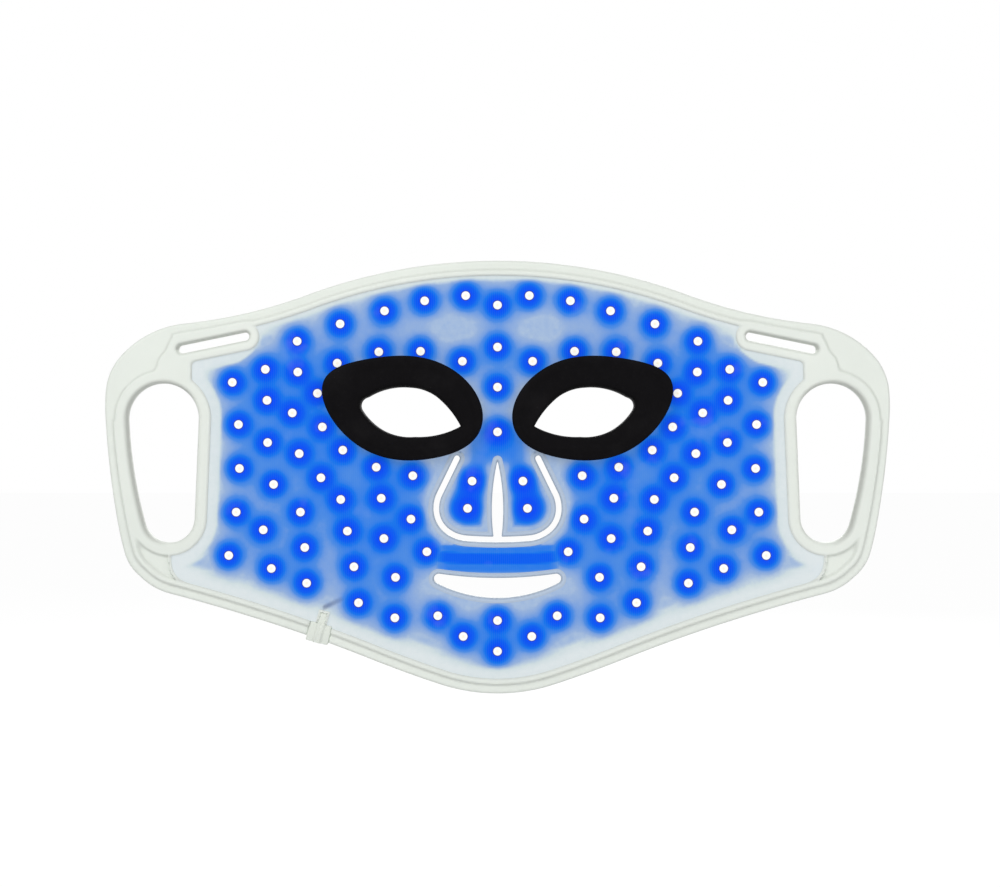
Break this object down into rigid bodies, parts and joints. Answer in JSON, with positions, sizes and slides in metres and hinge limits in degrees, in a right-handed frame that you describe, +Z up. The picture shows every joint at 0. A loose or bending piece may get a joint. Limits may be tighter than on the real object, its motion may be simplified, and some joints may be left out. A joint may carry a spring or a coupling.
{
  "type": "led face mask",
  "caption": "Flat flexible silicone light mask for the face: rimmed lit panel with round lamp windows, black eye shields, hinged nose flaps, mouth slot, strap slots and side openings.",
  "frame": {"origin": "on the wearer's eye line at the middle of the nose bridge, in the plane of the raised rim's crest on the skin side", "axes": "+Z up, from chin to forehead; +X along the sheet's width, to the right of a viewer who looks at the lit skin side; -Y towards the wearer's face, +Y out of the flat outer face"},
  "size_m": [0.3808, 0.0102, 0.21],
  "materials": {
    "shell_silicone": "satin",
    "skin_silicone": "satin",
    "diffuser_film": "matte",
    "circuit_film": "gloss",
    "lamp_package": "gloss",
    "lamp_window": "gloss",
    "eye_cushion": "matte",
    "gland_silicone": "satin",
    "lead_insulation": "satin",
    "board_laminate": "satin",
    "chip_body": "matte",
    "resistor_body": "satin",
    "sensor_body": "satin"
  },
  "bodies": {
    "centre": {"centre_shell": "shell_silicone", "centre_skin": "skin_silicone", "centre_diffuser": "diffuser_film", "centre_circuit": "circuit_film", "centre_lamp_chips": "lamp_package", "centre_windows": "lamp_window", "left_eye_shield": "eye_cushion", "right_eye_shield": "eye_cushion", "cable_gland": "gland_silicone", "lead_wires": "lead_insulation", "control_board": "board_laminate", "driver_chip": "chip_body", "resistors": "resistor_body", "heat_sensor": "sensor_body"},
    "left_wing": {"left_wing_shell": "shell_silicone", "left_wing_skin": "skin_silicone", "left_wing_diffuser": "diffuser_film", "left_wing_circuit": "circuit_film", "left_wing_lamp_chips": "lamp_package", "left_wing_windows": "lamp_window"},
    "right_wing": {"right_wing_shell": "shell_silicone", "right_wing_skin": "skin_silicone", "right_wing_diffuser": "diffuser_film", "right_wing_circuit": "circuit_film", "right_wing_lamp_chips": "lamp_package", "right_wing_windows": "lamp_window"},
    "left_flap": {"left_flap_shell": "shell_silicone", "left_flap_skin": "skin_silicone", "left_flap_diffuser": "diffuser_film", "left_flap_circuit": "circuit_film", "left_flap_lamp_chips": "lamp_package", "left_flap_windows": "lamp_window"},
    "right_flap": {"right_flap_shell": "shell_silicone", "right_flap_skin": "skin_silicone", "right_flap_diffuser": "diffuser_film", "right_flap_circuit": "circuit_film", "right_flap_lamp_chips": "lamp_package", "right_flap_windows": "lamp_window"}
  },
  "joints": [
    {"name": "left_wing_bend", "type": "hinge", "parent": "centre", "child": "left_wing", "pos_m": [-0.104, 0, 0], "axis": [0, 0, 1], "range_deg": [0, 65], "stiffness_Nm_per_rad": 0.03},
    {"name": "right_wing_bend", "type": "hinge", "parent": "centre", "child": "right_wing", "pos_m": [0.104, 0, 0], "axis": [0, 0, -1], "range_deg": [0, 65], "stiffness_Nm_per_rad": 0.03},
    {"name": "left_nose_flap", "type": "hinge", "parent": "centre", "child": "left_flap", "pos_m": [-0.011, 0.0052, -0.0234], "axis": [1, 0, 0], "range_deg": [0, 50], "stiffness_Nm_per_rad": 0.012},
    {"name": "right_nose_flap", "type": "hinge", "parent": "centre", "child": "right_flap", "pos_m": [0.011, 0.0052, -0.0234], "axis": [1, 0, 0], "range_deg": [0, 50], "stiffness_Nm_per_rad": 0.012}
  ]
}
